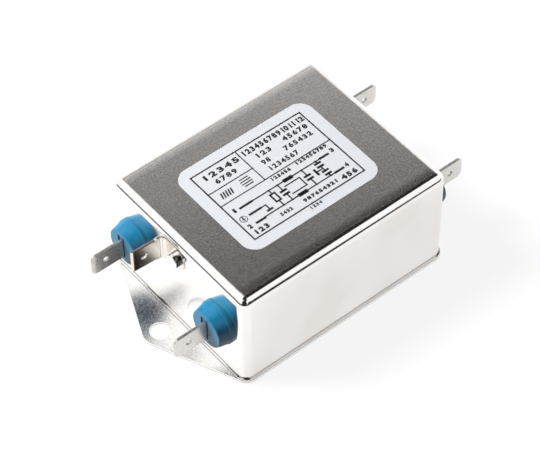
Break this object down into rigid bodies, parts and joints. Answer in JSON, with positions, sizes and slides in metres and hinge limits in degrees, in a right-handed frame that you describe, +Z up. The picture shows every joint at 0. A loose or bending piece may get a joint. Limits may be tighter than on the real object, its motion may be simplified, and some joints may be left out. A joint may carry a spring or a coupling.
{
  "type": "rfi filter",
  "caption": "Flange-mount mains interference filter: a drawn metal can on a lugged base plate, with tab terminals in blue bushings at both ends and a riveted earth tab.",
  "frame": {"origin": "centre of the base plate's underside", "axes": "+Z up through the roof, +X towards the load terminals, -X towards the line terminals and the earth tab"},
  "size_m": [0.0912, 0.0524, 0.0308],
  "materials": {
    "nickel_can": "polished nickel-plated steel, satin on the roof",
    "nickel_plate": "polished nickel-plated steel",
    "label_paper": "smooth coated paper",
    "tab_tin": "matt tin plating",
    "blue_plastic": "glossy translucent nylon",
    "earth_metal": "bright nickel plating, a little tarnished",
    "rivet_metal": "bright plating",
    "brass_lug": "plain brass",
    "wire_insulation": "vinyl insulation",
    "ferrite": "green epoxy coat",
    "white_plastic": "moulded nylon",
    "enamelled_copper": "copper under clear enamel",
    "capacitor_case": "moulded case",
    "disc_lacquer": "epoxy lacquer",
    "resistor_ceramic": "lacquered ceramic",
    "film": "polyester film",
    "fibre_board": "pressed fibre",
    "potting": "cured resin"
  },
  "bodies": {
    "root": {"can": "nickel_can", "base_plate": "nickel_plate", "label": "label_paper", "line_tab_1": "tab_tin", "line_tab_2": "tab_tin", "load_tab_1": "tab_tin", "load_tab_2": "tab_tin", "line_bushing_1": "blue_plastic", "line_bushing_2": "blue_plastic", "load_bushing_1": "blue_plastic", "load_bushing_2": "blue_plastic", "earth_tab": "earth_metal", "earth_rivet": "rivet_metal", "earth_ring_lug": "brass_lug", "earth_wire": "wire_insulation", "choke_core": "ferrite", "choke_divider": "white_plastic", "choke_winding_1": "enamelled_copper", "choke_winding_2": "enamelled_copper", "x_capacitor_line": "capacitor_case", "x_capacitor_load": "capacitor_case", "y_capacitor_1": "disc_lacquer", "y_capacitor_2": "disc_lacquer", "bleed_resistor": "resistor_ceramic", "line_wire_1": "wire_insulation", "line_wire_2": "wire_insulation", "load_wire_1": "wire_insulation", "load_wire_2": "wire_insulation", "insulating_film": "film", "fibre_sheet": "fibre_board", "potting_compound": "potting"}
  },
  "joints": []
}
